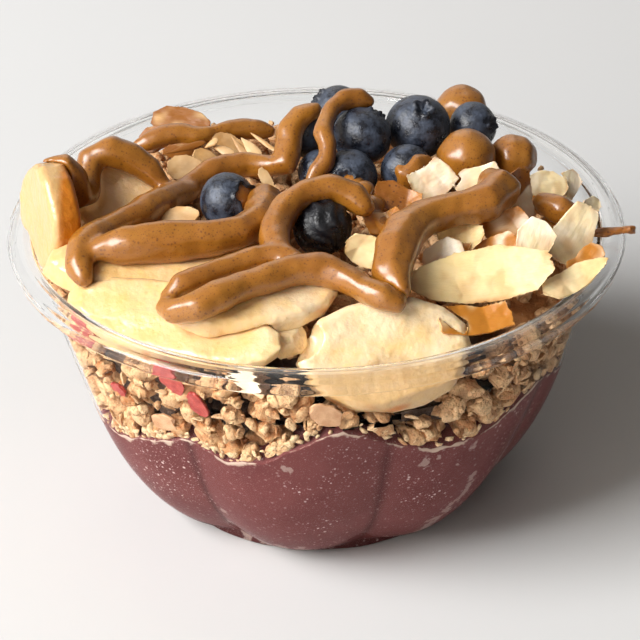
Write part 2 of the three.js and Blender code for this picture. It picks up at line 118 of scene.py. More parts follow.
def duplicated(obj, name):
    alone(obj)
    bpy.ops.object.duplicate()
    bpy.context.object.name = name
    return bpy.context.object


def new_ball(subdivisions, radius=1, name="ball"):
    bpy.ops.mesh.primitive_ico_sphere_add(subdivisions=subdivisions, radius=radius)
    bpy.context.object.name = name
    return bpy.context.object


def joined(parts, name):
    """Joins all parts into the first."""
    alone(parts[0])
    for part in parts:
        part.select_set(True)
    bpy.ops.object.join()
    parts[0].name = name
    return parts[0]


def positions(obj):
    flat = np.empty(len(obj.data.vertices) * 3)
    obj.data.vertices.foreach_get("co", flat)
    return flat.reshape(-1, 3)


def move_corners(obj, corners):
    obj.data.vertices.foreach_set("co", np.ascontiguousarray(corners).ravel())
    obj.data.update()


def paint(obj, **layers):
    """Stores numbers, or vectors, on the corners for a material to read."""
    for name, values in layers.items():
        values = np.asarray(values, dtype=np.float32)
        kind, field = ("FLOAT_VECTOR", "vector") if values.ndim == 2 else ("FLOAT", "value")
        layer = obj.data.attributes.new(name, kind, "POINT")
        layer.data.foreach_set(field, values.ravel())


def subdivide(obj, levels):
    return modify(obj, "SUBSURF", levels=levels, render_levels=levels)


def roughen(obj, *layers):
    """Pushes a surface in and out: a layer has a name, the size of its bumps and a strength."""
    for name, size, strength in layers:
        texture = bpy.data.textures.get(name) or bpy.data.textures.new(name, "CLOUDS")
        texture.noise_scale, texture.noise_depth = size, 2
        modify(obj, "DISPLACE", texture=texture, texture_coords="LOCAL", strength=strength)
    return obj


def soften(obj, voxel, rounds, puff=0.0):
    """Gives a faceted solid even, rounded flesh, and puffs it out along its normals."""
    modify(obj, "REMESH", mode="VOXEL", voxel_size=voxel)
    modify(obj, "SMOOTH", iterations=rounds)
    if puff:
        modify(obj, "DISPLACE", mid_level=0, strength=puff)
    return obj


def chipped(piece, cuts, scale=1.0, shift=(0, 0, 0)):
    """Breaks flat faces off a piece: a cut is a way, and the share that stays on that side."""
    corners = positions(piece)
    middle = (corners.max(0) + corners.min(0)) / 2
    for x, y, z, kept in cuts:
        way = np.array(Vector((x, y, z)).normalized())
        along = (corners - middle) @ way
        corners -= np.outer(np.maximum(along - kept * along.max(), 0), way)
    move_corners(piece, (corners - middle) * scale + middle + np.array(shift) * MM)


def search_tree(objects):
    """One search tree over the surfaces of several objects."""
    corners, faces = [], []
    for obj in objects:
        count = len(corners)
        corners += [v.co[:] for v in obj.data.vertices]
        faces += [[v + count for v in f.vertices] for f in obj.data.polygons]
    return BVHTree.FromPolygons(corners, faces)


def finish_piece(obj, look, slot, *replaced):
    """The last step of every piece: smooth shading, its look and its body. The slot is not used."""
    alone(obj)
    bpy.ops.object.shade_smooth()
    obj.data.materials.clear()
    obj.data.materials.append(look.material)
    if replaced:
        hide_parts(*replaced)
    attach(obj, "root")
    print(obj.name, len(obj.data.polygons), "faces")


# %% Helpers for places
def ramp(value, low, high):
    """0 below low, 1 above high, and smooth in between."""
    t = np.clip((np.asarray(value) - low) / (high - low), 0, 1)
    return t * t * (3 - 2 * t)


def headings(corners):
    """Degrees right of the front."""
    return np.degrees(np.arctan2(corners[:, 0], -corners[:, 1]))


def from_axis(corners):
    return np.hypot(corners[:, 0], corners[:, 1])


def noise_at(corners, size):
    """A soft random number for each corner, in blobs of a size."""
    return np.array([noise.noise(Vector(c) / size) for c in corners])


def facing(way, axis="Z"):
    """The turn that brings an axis round to a way."""
    return way.to_track_quat(axis, "Y").to_matrix().to_4x4()


# %% [markdown]
# ## Building materials in code
# A material is a small tree of nodes. These helpers add one node, join sockets, and
# mix two colours. Colours are written as a painter would pick them on a screen, from
# 0 to 255, and turned into the linear values that the renderer counts in.

# %% Helpers for trees of nodes
def tint(*screen):
    def linear(channel):
        value = channel / 255
        return value / 12.92 if value <= 0.04045 else ((value + 0.055) / 1.055) ** 2.4
    return (*map(linear, screen), 1.0)


class Tree:
    """A tree of nodes, with short ways to add to it."""

    def __init__(self, tree):
        self.tree = tree

    def feed(self, socket, value):
        if isinstance(value, bpy.types.NodeSocket):
            self.tree.links.new(value, socket)
        else:
            socket.default_value = value

    def add(self, kind, settings=None, **sockets):
        made = self.tree.nodes.new("ShaderNode" + kind)
        for name, value in (settings or {}).items():
            setattr(made, name, value)
        for name, value in sockets.items():
            self.feed(made.inputs[name.replace("_", " ")], value)
        return made

    def mixed(self, share, low, high):
        """A colour between low and high, by share."""
        made = self.add("Mix", {"data_type": "RGBA"})
        for index, value in ((0, share), (6, low), (7, high)):
            self.feed(made.inputs[index], tint(*value) if isinstance(value, tuple) else value)
        return made.outputs[2]

    def counted(self, operation, first, second=0.0):
        made = self.add("Math", {"operation": operation})
        self.feed(made.inputs[0], first)
        self.feed(made.inputs[1], second)
        return made.outputs[0]

    def times(self, first, second):
        return self.counted("MULTIPLY", first, second)

    def between(self, value, low, high):
        """0 where a value is at low, and 1 where it is at high."""
        return self.add("MapRange", Value=value, From_Min=low, From_Max=high).outputs["Result"]

    def along(self, vector, axis):
        return self.add("SeparateXYZ", Vector=vector).outputs[axis]


# %% [markdown]
# ## Two patterns that every food here shares
# Blotches are soft uneven patches, and specks are small dots of random size. Each is
# a node group, so that it is built once and set anew in each material.

# %% Node groups
def new_group(name, *inputs):
    group = bpy.data.node_groups.new(name, "ShaderNodeTree")
    for label in inputs:
        kind = "NodeSocketVector" if label == "Vector" else "NodeSocketFloat"
        group.interface.new_socket(label, in_out="INPUT", socket_type=kind)
    group.interface.new_socket("Mask", in_out="OUTPUT", socket_type="NodeSocketFloat")
    start = group.nodes.new("NodeGroupInput").outputs
    end = group.nodes.new("NodeGroupOutput").inputs["Mask"]
    return Tree(group), start, end


blotch_group, start, end = new_group("blotches", "Vector", "Scale", "Low", "High")
patches = blotch_group.add("TexNoise", Vector=start["Vector"], Scale=start["Scale"],
                           Detail=4.0, Roughness=0.6).outputs["Fac"]
blotch_group.feed(end, blotch_group.between(patches, start["Low"], start["High"]))

speck_group, start, end = new_group("specks", "Vector", "Scale", "Size")
cells = speck_group.add("TexVoronoi", Vector=start["Vector"], Scale=start["Scale"]).outputs
own_size = speck_group.times(cells["Color"], start["Size"])
dots = speck_group.between(cells["Distance"], own_size, speck_group.times(own_size, 0.5))
speck_group.feed(end, dots)


# %% Looks
class Look(Tree):
    """A material with its Principled shader and the object's own coordinates."""

    def __init__(self, name):
        self.material = bpy.data.materials.new(name)
        self.material.use_nodes = True
        super().__init__(self.material.node_tree)
        self.shader = self.tree.nodes["Principled BSDF"]
        self.place = self.add("TexCoord").outputs["Object"]

    def shade(self, **settings):
        for name, value in settings.items():
            self.feed(self.shader.inputs[name.replace("_", " ")], value)

    def base(self, share, low, high):
        self.colour = self.mixed(share, low, high)
        self.shade(Base_Color=self.colour)

    def coat(self, mask, top, strength=1.0):
        """Lays a colour over the last, where a mask says so and as strong as a number."""
        self.base(self.times(mask, strength), self.colour, top)

    def glow(self, weight, radius, scale):
        """Lets light in under the surface."""
        self.shade(Subsurface_Weight=weight, Subsurface_Radius=radius, Subsurface_Scale=scale)

    def bump(self, height, depth, strength=1.0):
        made = self.add("Bump", Strength=strength, Distance=depth, Height=height)
        self.shade(Normal=made.outputs["Normal"])

    def painted(self, name, output="Fac"):
        return self.add("Attribute", {"attribute_name": name}).outputs[output]

    def own_place(self):
        return self.painted("own_place", "Vector")

    def pattern(self, group, place, **settings):
        place = self.place if place is None else place
        return self.add("Group", {"node_tree": group.tree}, Vector=place, **settings).outputs["Mask"]

    def blotches(self, scale, low=0.4, high=0.6, place=None):
        return self.pattern(blotch_group, place, Scale=scale, Low=low, High=high)

    def specks(self, scale, size, place=None):
        return self.pattern(speck_group, place, Scale=scale, Size=size)

    def fibres(self, length, scale):
        """Blotches drawn out along a piece's own long axis."""
        drawn = self.add("Mapping", Vector=self.own_place(), Scale=(length, 1.0, 1.0))
        return self.blotches(scale, 0.3, 0.7, drawn.outputs["Vector"])


# %% [markdown]
# ## Camera, floor and lights
# The camera looks down at the bowl by about 31 degrees through a long lens, and is
# turned a little to one side. A pale floor takes the shadow. One large soft lamp to
# the left does most of the work, and the room's pale walls fill in the rest.

# %% Camera
CAMERA_PLACE = Vector((0, -656.5, 445.7)) * MM
CAMERA_AIM = Vector((0.8, 0, 52.56)) * MM
CAMERA_ROLL = math.radians(-0.615)
LENS = 141.0
SENSOR = 36

view = bpy.data.cameras.new("view")
view.lens = LENS
view.sensor_width = SENSOR
camera = new_object("camera", view)
camera.matrix_world = (Matrix.Translation(CAMERA_PLACE) @ facing(CAMERA_AIM - CAMERA_PLACE, "-Z")
                       @ Matrix.Rotation(CAMERA_ROLL, 4, "Z"))
bpy.context.scene.camera = camera

# %% Floor and lights
bpy.ops.mesh.primitive_plane_add(size=8, location=(0, 0, 0))
floor = bpy.context.object
floor.name = "floor"
look = Look("pale_floor")
look.base(look.blotches(3.0, 0.3, 0.7), (210, 210, 209), (214, 214, 213))
# Painted light: the floor grows lighter towards the back, standing in for light that falls there.
look.coat(look.between(look.along(look.place, "Y"), 0.05, 0.6), (238, 238, 238))
look.shade(Roughness=0.75)
floor.data.materials.append(look.material)

WHITE, WARM = (1.0, 1.0, 1.0), (1.0, 0.93, 0.86)
LAMPS = {  # place and aim in millimetres, width in metres, power in watts, colour
    "window": ((-1250, -650, 1200), (0, 0, 60), 1.1, 59.0, WHITE),
    "front_card": ((-600, -1150, 480), (0, 0, 60), 1.0, 6.0, WARM),
    "back_card": ((-100, 1300, 1000), (0, 0, 80), 1.0, 2.5, WARM),
}
for name, (at, aim, width, power, colour) in LAMPS.items():
    lamp = bpy.data.lights.new(name, "AREA")
    lamp.size = width
    lamp.energy = power
    lamp.color = colour
    holder = new_object(name, lamp)
    holder.location = Vector(at) * MM
    holder.rotation_euler = facing(Vector(aim) - Vector(at), "-Z").to_euler()

# The walls are bright at the left and dim at the right, and add little to matt things.
DIMMED = 0.86
world = bpy.data.worlds.new("studio")
world.use_nodes = True
sky = Tree(world.node_tree)
across = sky.along(sky.add("TexCoord").outputs["Generated"], "X")
wall_light = sky.add("MapRange", Value=across, From_Min=-1.0, From_Max=1.0,
                     To_Min=1.0, To_Max=0.1).outputs["Result"]
scattered_ray = sky.add("LightPath").outputs["Is Diffuse Ray"]
kept = sky.counted("SUBTRACT", 1.0, sky.times(scattered_ray, DIMMED))
backdrop = sky.tree.nodes["Background"].inputs
sky.feed(backdrop["Color"], tint(244, 238, 230))
sky.feed(backdrop["Strength"], sky.times(wall_light, kept))
bpy.context.scene.world = world
bpy.context.scene.view_settings.view_transform = "Standard"

# %% [markdown]
# ## The clear bowl
# A real bowl of this kind is pressed from one thin clear sheet. Its solid has the
# right sections but few facets, so a copy is merged into quads and subdivided. The
# valleys between petals and the steps of the rim keep a crease, which holds them
# crisp while the petals turn round.

# %% Bowl
FIRST_VALLEY = 15  # degrees right of the front
PETAL = 45  # degrees from valley to valley
RIM_FROM = 82 * MM
RIM_RINGS = (83.0, 87.4, 90.4)  # fine ridges round the rim, millimetres from the axis


def from_nearest_valley(corners):
    """Degrees to the nearest valley between two petals."""
    return np.abs((headings(corners) - FIRST_VALLEY + PETAL / 2) % PETAL - PETAL / 2)


def crease_edges(obj, weight):
    """Keeps edges crisp: weight rates the edge between two corners, 0 for a soft one."""
    corners = positions(obj)
    layer = obj.data.attributes.new("crease_edge", "FLOAT", "EDGE")
    for edge in obj.data.edges:
        a, b = edge.vertices
        level = abs(corners[a][2] - corners[b][2]) < 0.01 * MM
        layer.data[edge.index].value = weight(a, b, level)


def shell_crease(a, b, level):
    height = corners[a][2]
    if level:
        return 0.75 if height > RIM_FROM or height < 1 * MM else 0
    return 0.45 if in_valley[a] and in_valley[b] and height < 75 * MM else 0


shell = copied("bowl", "bowl_shell")
editing(shell, to_quads)
corners = positions(shell)
in_valley = from_nearest_valley(corners) < 0.5
crease_edges(shell, shell_crease)
subdivide(shell, 2)

look = Look("clear_plastic")
flat_place = look.add("Mapping", Vector=look.place, Scale=(1, 1, 0)).outputs["Vector"]
reach = look.add("VectorMath", {"operation": "LENGTH"}, Vector=flat_place).outputs["Value"]
in_rim = look.between(look.along(look.place, "Z"), RIM_FROM, 86 * MM)
lines = 0.0
for ring in RIM_RINGS:
    off = look.counted("DIVIDE", look.counted("SUBTRACT", reach, ring * MM), 0.45 * MM)
    ridge = look.counted("EXPONENT", look.times(look.times(off, off), -1.0))
    lines = look.counted("ADD", lines, ridge)
look.bump(look.times(lines, in_rim), 0.45 * MM, 0.3)
look.shade(Base_Color=(0.985, 0.99, 0.99, 1), Roughness=0.02, Transmission_Weight=1.0,
           IOR=look.counted("ADD", 1.03, look.times(in_rim, 0.11)),
           Coat_Weight=look.counted("ADD", 0.04, look.times(in_rim, 0.5)),
           Coat_IOR=1.5, Coat_Roughness=0.03)
path = look.add("LightPath").outputs
passes = look.counted("MAXIMUM", path["Is Shadow Ray"], path["Is Diffuse Ray"])
both = look.add("MixShader")
clear = look.add("BsdfTransparent").outputs[0]
for index, value in enumerate((passes, look.shader.outputs[0], clear)):
    look.feed(both.inputs[index], value)
look.feed(look.tree.nodes["Material Output"].inputs["Surface"], both.outputs[0])
finish_piece(shell, look, "clear_plastic", "bowl")

# %% [markdown]
# ### The room inside the wall
# What fills the bowl has to meet the wall with no air between. The inner skin of the
# bowl, pushed a third of a millimetre into the sheet and closed at the top, is kept
# aside as a helper: the acai is wrapped onto it, and the granola stays inside it.

# %% Room
INTO_WALL = 0.35 * MM
LID = 88.4 * MM  # where the room is closed

room = duplicated(shell, "room")
bpy.ops.object.mode_set(mode="EDIT")
bpy.ops.mesh.select_mode(type="FACE")
bpy.ops.object.mode_set(mode="OBJECT")
for face in room.data.polygons:
    outward = Vector((face.center.x, face.center.y, 0)).normalized()
    is_floor = face.normal.z > 0.05 and face.center.z < 8 * MM
    is_wall = face.normal.dot(outward) < -0.1 and face.center.z < LID
    face.select = not (is_floor or is_wall)
bpy.ops.object.mode_set(mode="EDIT")
bpy.ops.mesh.delete(type="FACE")
bpy.ops.mesh.select_all(action="SELECT")
bpy.ops.mesh.flip_normals()
bpy.ops.transform.shrink_fatten(value=INTO_WALL)
bpy.ops.mesh.select_all(action="DESELECT")
bpy.ops.mesh.select_mode(type="EDGE")
bpy.ops.mesh.select_non_manifold()
bpy.ops.mesh.edge_face_add()
bpy.ops.mesh.select_all(action="SELECT")
bpy.ops.mesh.quads_convert_to_tris()
bpy.ops.object.mode_set(mode="OBJECT")
room_tree = search_tree([room])

# %% [markdown]
# ## The acai
# The frozen blend is one smooth mass. Against the wall it takes the shape of the
# petals, and its edge wanders up and down where the granola pressed into it. The
# solid is subdivided, its edge is roughened, and the corners that lie near the wall
# are wrapped onto the room. At last it is pushed out into the bowl's foot.

# %% Acai
NEAR_WALL = 2.6 * MM
DEGREES = np.arange(-180, 181)
ABOUT = 2.5  # degrees on each side that share one height of the edge
FROSTED = {  # where frost shows: heading, height and reach
    "smears": (
        (-27, 21, 2.0), (-29, 12, 1.8), (-27, 4.5, 2.2), (-20, 5.5, 3.0), (-12, 6, 3.0), (-6, 7, 2.4),
        (39.5, 33, 2.0), (39.8, 28, 2.4), (39.5, 25, 2.4), (38, 21.5, 2.6), (36.5, 18, 2.6),
        (35, 14, 2.8), (34.5, 11, 2.6), (34.5, 7.5, 2.8), (33, 5, 2.4), (-7, 49, 2.4),
        (24.5, 46, 2.6), (27, 46.5, 1.6), (36, 47, 1.8), (33, 41, 1.5), (-62, 40, 2), (140, 30, 3)),
    "dots": (
        (-5, 41, 4), (2, 43, 4), (6, 46, 3), (12.5, 43, 3), (20, 39, 4), (26, 39, 4), (-1, 21, 5),
        (2.5, 24, 4), (-36, 30, 3), (28, 30, 6), (90, 40, 9), (180, 35, 9), (-120, 40, 9)),
}
FOOT_REACH = 47.1 * MM
FOOT_DROP = 0.9 * MM


def acai_crease(a, b, level):
    return 0.85 if level and max(corners[a][2], corners[b][2]) < 2 * MM else 0


acai = copied("acai", "acai_blend")
editing(acai, to_quads)
corners = positions(acai)
crease_edges(acai, acai_crease)
subdivide(acai, 3)
corners = positions(acai)
near = np.array([room_tree.find_nearest(Vector(c))[3] < NEAR_WALL for c in corners])
turn_of = headings(corners)
edge_height = np.array([
    corners[near & (np.abs((turn_of - d + 180) % 360 - 180) < ABOUT), 2].max() for d in DEGREES])
below_edge = np.interp(turn_of, DEGREES, edge_height) - corners[:, 2]
ragged = np.array([noise.noise(Vector((h * 0.22, 3.1, 0))) * 1.6
                   + noise.noise(Vector((h * 0.9, 7.7, 0))) * 0.8 for h in turn_of])
corners[:, 2] += ragged * MM * ramp(-below_edge, -6 * MM, 0)
move_corners(acai, corners)
paint(acai, below_edge=np.where(near, below_edge / MM, 20))
for layer, places in FROSTED.items():
    here = np.zeros(len(corners))
    for heading, height, reach in places:
        across = np.radians(turn_of - heading) * from_axis(corners) / MM
        up = corners[:, 2] / MM - height
        here = np.maximum(here, np.exp(-(across ** 2 + up ** 2) / reach ** 2))
    paint(acai, **{layer: here})
# Painted shade: the acai grows darker along each valley between two petals and low down at the foot.
valley = np.exp(-(from_nearest_valley(corners) / 1.3) ** 2) * ramp(-corners[:, 2], -66 * MM, -50 * MM)
paint(acai, valley=np.maximum(valley, 1.3 * ramp(-corners[:, 2], -6.5 * MM, -3.2 * MM)))
against = acai.vertex_groups.new(name="against_wall")
against.add([int(i) for i in np.nonzero(near)[0]], 1.0, "REPLACE")
modify(acai, "SHRINKWRAP", target=room, wrap_method="NEAREST_SURFACEPOINT",
       wrap_mode="ON_SURFACE", vertex_group="against_wall")
corners = positions(acai)
reach = from_axis(corners)
at_foot = ramp(-corners[:, 2], -3.2 * MM, -1.6 * MM) * ramp(reach, 42 * MM, 45 * MM)
corners[:, :2] *= (1 + at_foot * (FOOT_REACH / np.maximum(reach, 1 * MM) - 1))[:, None]
corners[:, 2] -= FOOT_DROP * at_foot
move_corners(acai, corners)

look = Look("frozen_acai")
frosty = look.counted("MAXIMUM", look.blotches(30, 0.5, 0.68), look.painted("dots"))
frosty = look.counted("MAXIMUM", frosty, 0.22)
torn = look.times(look.blotches(420, 0.3, 0.7), 0.85)
smears = look.between(look.counted("SUBTRACT", look.painted("smears"), torn), 0.1, 0.25)
shore_wave = look.times(look.blotches(130, 0.35, 0.7), 3.2)
shore_depth = look.counted("SUBTRACT", shore_wave, look.painted("below_edge"))
look.base(look.blotches(45, 0.35, 0.7), (106, 57, 56), (121, 70, 68))
# Painted shade along the valleys and at the foot.
look.coat(look.painted("valley"), (58, 28, 27), 0.6)
look.coat(look.times(look.specks(620, 0.4), frosty), (224, 202, 196), 0.9)
look.coat(look.times(look.specks(1300, 0.42), frosty), (206, 176, 170), 0.75)
look.coat(smears, (190, 168, 158), 0.5)
look.coat(look.between(shore_depth, -0.2, 0.6), (214, 192, 172), 0.7)
look.shade(Roughness=0.5, Specular_IOR_Level=0.1)
look.bump(look.blotches(260, 0.2, 0.8), 0.15 * MM, 0.5)
finish_piece(acai, look, "acai", "acai")

# %% [markdown]
# ## Flat pieces and their own axes
# A slice, a chip or a flake has a long way, a cross way and a thin way. They are
# found from how its corners spread, and stored on the piece, so that fibres run along
# it and its rim can be darker than its middle.

# %% Own axes
def own_frame(obj):
    """Stores each corner's place along the piece's own axes, and returns shares of its reach."""
    corners = positions(obj)
    middle = (corners.max(0) + corners.min(0)) / 2
    _, axes = np.linalg.eigh(np.cov((corners - corners.mean(0)).T))
    own = (corners - middle) @ axes[:, ::-1]
    paint(obj, own_place=own / MM)
    return own / np.abs(own).max(0)


# %% [markdown]
# ## Banana
# The slices are cut on the slant, so each is a thick oval. The cut faces are moist
# and fibrous, the rims smoother. Remeshing a solid evenly and smoothing it a few
# times takes the facets off, and two layers of small bumps make it flesh.

# %% Banana
look = Look("banana_flesh")
grain = look.own_place()
# Painted shade: slices at the left, where the lamp falls strongest, get darker and more golden
# colours.
ripe = look.painted("ripe")
pale = look.mixed(ripe, (240, 216, 176), (230, 194, 142))
deep = look.mixed(ripe, (238, 202, 140), (230, 188, 120))
look.base(look.blotches(0.11, 0.42, 0.68, grain), pale, deep)
cloudy = look.blotches(180, 0.4, 0.7)
look.coat(cloudy, (222, 172, 104), 0.18)
look.coat(look.specks(0.3, 0.25, grain), (190, 130, 60), 0.3)
# Browner at the front slice's right end and in one spot at its lower edge.
bruised = look.times(look.painted("bruised"), look.blotches(110, 0.45, 0.6))
look.coat(bruised, (150, 104, 58), 0.6)
# Darker low down where a slice lies against the wall below the rim, and painted shade over the lit
# side of the upright slice.
look.coat(look.painted("pressed"), (196, 152, 92), 0.75)
look.coat(look.painted("honeyed"), (192, 110, 2), 0.96)
look.shade(Roughness=0.3, Coat_Weight=0.4, Coat_Roughness=0.1)
look.glow(0.25, (1.0, 0.6, 0.25), 2.5 * MM)
look.bump(look.counted("ADD", cloudy, look.blotches(420, 0.3, 0.7)), 0.25 * MM, 0.5)

BREAKS = ((0.7, -0.5, 0.5, 0.5), (-0.6, -0.8, 0, 0.6), (0.2, -0.3, 1, 0.6),
          (-0.8, 0.2, 0.5, 0.6), (0.3, -1, -0.3, 0.6))
for node in solids("banana_"):
    broken = node == "banana_end"
    piece = soften(copied(node, node.replace("banana", "slice")), 0.55 * MM, 1 if broken else 9)
    if broken:
        chipped(piece, BREAKS, 0.85, (-2.5, 1.5, -0.5))
    roughen(piece, ("slice_waves", 10 * MM, 0.8 * MM),
            ("slice_flesh", 1.8 * MM, (0.9 if broken else 0.22) * MM))
    own_frame(piece)
    corners = positions(piece)
    across, up = corners[:, 0], corners[:, 2]
    if node == "banana_upright":  # butter runs down its far edge
        honeyed = ramp(across, -75 * MM, -72 * MM)
    else:
        honeyed = ramp(noise_at(corners, 6 * MM), 0.15, 0.5) * ramp(up.min() + 8 * MM - up, 0, 6 * MM)
    bruised = np.zeros(len(corners))
    if node == "banana_front":  # its right end and one spot at its lower edge
        spot = np.hypot(across - 20 * MM, 2 * (up - 80 * MM))
        bruised = np.maximum(ramp(across, 24 * MM, 36 * MM), ramp(-spot, -9 * MM, -4 * MM))
    # Darker low down against the wall, below the rim; the upright slice gets painted shade over its
    # lit side.
    pressed = ramp(from_axis(corners), 71 * MM, 75 * MM) * ramp(-up, -82.5 * MM, -78.5 * MM)
    # Slices at the left are marked for painted shade.
    paint(piece, honeyed=honeyed, bruised=bruised, ripe=ramp(-across, 0, 30 * MM),
          pressed=np.maximum(pressed, 0.8 if node == "banana_upright" else 0))
    finish_piece(piece, look, "banana", node)

# %% [markdown]
# ## Blueberries
# A blueberry is a ball with a five-pointed crown round a small crater. Three berries
# are modelled with care and then copied, each copy turned so that its crown looks the
# way its solid's does. A waxy bloom makes it blue-grey where nothing has rubbed it.

# %% One berry
random.seed(3)


def berry_model(name, opening, wrinkled=0.0):
    """A berry of radius 1, with its crown at +Z opening so many degrees from the pole."""
    bpy.ops.mesh.primitive_uv_sphere_add(segments=48, ring_count=56, radius=1)
    model = bpy.context.object
    model.name = name
    corners = positions(model)
    polar = np.degrees(np.arccos(np.clip(corners[:, 2], -1, 1)))
    turn = np.arctan2(corners[:, 1], corners[:, 0])
    crest = opening * (1 + 0.16 * np.cos(5 * turn) + 0.05 * np.sin(3 * turn))
    raised = np.exp(-((polar - crest) / 3.5) ** 2) * (0.08 + 0.05 * np.cos(5 * turn))
    crater = (0.012 * opening) * ramp(-polar, -crest + 1, -crest + 8)
    spread = 1 + raised - crater
    spread += wrinkled * 0.05 * np.sin(11 * turn + 2 * np.sin(polar / 14)) * ramp(polar, 20, 50)
    corners = corners * spread[:, None]
    corners[:, 2] *= 0.94
    move_corners(model, corners)
    paint(model, crown=np.exp(-((polar - crest) / 5.0) ** 2), pit=ramp(-polar, -crest + 3, -crest + 8))
    return roughen(model, ("berry_dents", 0.8, 0.06), ("berry_skin", 0.18, 0.012 + 0.05 * wrinkled))


plain_berry = berry_model("plain_berry", 15)
open_berry = berry_model("open_berry", 27)
wrinkled_berry = berry_model("wrinkled_berry", 17, 1.0)


# %% Berry skin
def berry_skin(name, bloom_share, dark, bloom):
    look = Look(name)
    cloudy = look.blotches(260, 0.38, 0.64)
    fine = look.blotches(1100, 0.35, 0.7)
    look.base(look.times(cloudy, bloom_share), dark, bloom)
    look.coat(fine, dark, 0.45)
    look.coat(look.specks(700, 0.22), (14, 14, 20))
    look.coat(look.painted("pit"), bloom, 0.6)
    look.coat(look.painted("crown"), (16, 18, 26), 0.8)
    look.shade(Roughness=look.counted("ADD", look.times(cloudy, 0.25), 0.22))
    look.bump(fine, 0.15 * MM, 0.6)
    return look


bloomed = berry_skin("bloomed_skin", 0.8, (22, 25, 34), (88, 98, 116))
rubbed = berry_skin("rubbed_skin", 0.3, (10, 11, 15), (34, 38, 48))


# %% Berries in place
def ball_of(node):
    """Centre and radius of the ball that most corners of a solid lie on, and its crown's way."""
    probe = copied(node, "probe")
    corners = positions(probe)
    kept = corners
    for _ in range(4):
        rows = np.hstack([2 * kept, np.ones((len(kept), 1))])
        found = np.linalg.lstsq(rows, (kept ** 2).sum(1), rcond=None)[0]
        centre = found[:3]
        radius = math.sqrt(found[3] + centre @ centre)
        away = np.abs(np.linalg.norm(corners - centre, axis=1) - radius)
        kept = corners[away < max(0.06 * radius, np.quantile(away, 0.5))]
    edges_at = np.bincount([v for e in probe.data.edges for v in e.vertices], minlength=len(corners))
    poles = [c for c, count in zip(corners, edges_at) if count == 9]  # nine edges meet in a crater
    crown = Vector((0, 0, 1))
    if poles:
        deepest = min(poles, key=lambda c: np.linalg.norm(c - centre))
        if np.linalg.norm(deepest - centre) < 0.86 * radius:
            crown = Vector(deepest - centre).normalized()
    bpy.data.objects.remove(probe)
    return Vector(centre), radius, crown


OWN_MODEL = {"blueberry_dark": wrinkled_berry, "blueberry_left": open_berry}
balls = {}
for node in solids("blueberry_"):
    centre, radius, crown = ball_of(node)
    balls[node] = (centre, radius)
    piece = duplicated(OWN_MODEL.get(node, plain_berry), node.replace("blueberry", "berry"))
    spin = Matrix.Rotation(random.uniform(0, 2 * math.pi), 4, "Z")
    piece.data.transform(Matrix.Translation(centre) @ facing(crown) @ spin
                         @ Matrix.Scale(radius * 1.01, 4))
    finish_piece(piece, rubbed if node == "blueberry_dark" else bloomed, "blueberry", node)
for model in (plain_berry, open_berry, wrinkled_berry):
    bpy.data.objects.remove(model)

# %% [markdown]
# ## Coconut chips and almond flakes
# Both are thin and a little curled. Chips are shaved coconut: cream in the middle,
# golden or toasted at their torn rims, and amber where honey soaked in. Flakes are
# paler and smoother, some with a line of brown skin round them.

# %% Chip and flake looks
chip_look = look = Look("coconut_chip")
fibre = look.fibres(0.18, 1.1)
cream = look.mixed(look.painted("golden"), (252, 238, 218), (254, 222, 160))
look.base(look.blotches(60, 0.4, 0.62), cream, (252, 226, 176))
look.coat(fibre, (232, 198, 146), 0.2)
toasted = look.times(look.painted("rim"), look.blotches(140, 0.38, 0.62))
look.coat(toasted, (196, 128, 54), 0.75)
look.coat(look.painted("honeyed"), (186, 118, 36))
butter = look.mixed(look.specks(960, 0.52), (152, 92, 30), (96, 50, 18))
look.coat(look.painted("dipped"), butter)
look.shade(Roughness=0.34)
look.glow(0.2, (1.0, 0.7, 0.4), 1.5 * MM)
look.bump(fibre, 0.12 * MM, 0.6)

flake_look = look = Look("almond_flake")
fibre = look.fibres(0.2, 1.3)
look.base(look.blotches(90, 0.4, 0.65), (228, 196, 148), (212, 166, 106))
look.coat(fibre, (198, 152, 96), 0.25)
look.coat(look.painted("rim"), (150, 88, 44))
# Honey stain; on skinned flakes it also stands in for painted shade.
look.coat(look.painted("honeyed"), (140, 84, 24))
look.shade(Roughness=0.42)
look.bump(fibre, 0.1 * MM, 0.5)

# %% Chips and flakes
SKINNED = ("almond_large", "almond_edge", "almond_left")
AMBER = ("coconut_toasted", "coconut_dipped", "coconut_amber", "coconut_glazed", "coconut_slip",
         "coconut_front", "coconut_side")
YELLOW = ("coconut_big", "coconut_long", "coconut_front", "coconut_stub", "coconut_curl")
DIPPED = {  # the way in which a chip was dipped in nut butter, and where the butter begins
    "coconut_dipped": (-0.8, 0, 0.2, -0.3), "coconut_tall": (-0.3, 0, 0.9, -0.1),
    "coconut_stick": (0, 0, 1, -9)}
NOT_DIPPED = (0, 0, 1, 9)
THIN_WAVES = ("thin_waves", 6 * MM, 0.7 * MM)


def thin_piece(node, name, tear):
    """A curled piece with a torn rim, its corners, and how near to its rim each of them is."""
    puff = (0.15 if node == "coconut_stick" else -0.26) * MM
    piece = roughen(soften(copied(node, name), 0.32 * MM, 1, puff), THIN_WAVES)
    if node == "coconut_stick":  # its end is a knob
        corners = positions(piece)
        knob = 1 + 0.7 * ramp(corners[:, 0], 89 * MM, 92 * MM)
        tip = corners[knob > 1.5].mean(0)
        corners[:, 1:] = tip[1:] + (corners[:, 1:] - tip[1:]) * knob[:, None]
        move_corners(piece, corners)
    share = own_frame(piece)
    reach = np.maximum(np.abs(share[:, 0]), np.abs(share[:, 1]))
    corners = positions(piece)
    torn = noise_at(corners, 1.1 * MM) * ramp(reach, 0.55, 0.95) * tear
    move_corners(piece, corners + (corners - corners.mean(0)) * torn[:, None])
    return piece, positions(piece), reach


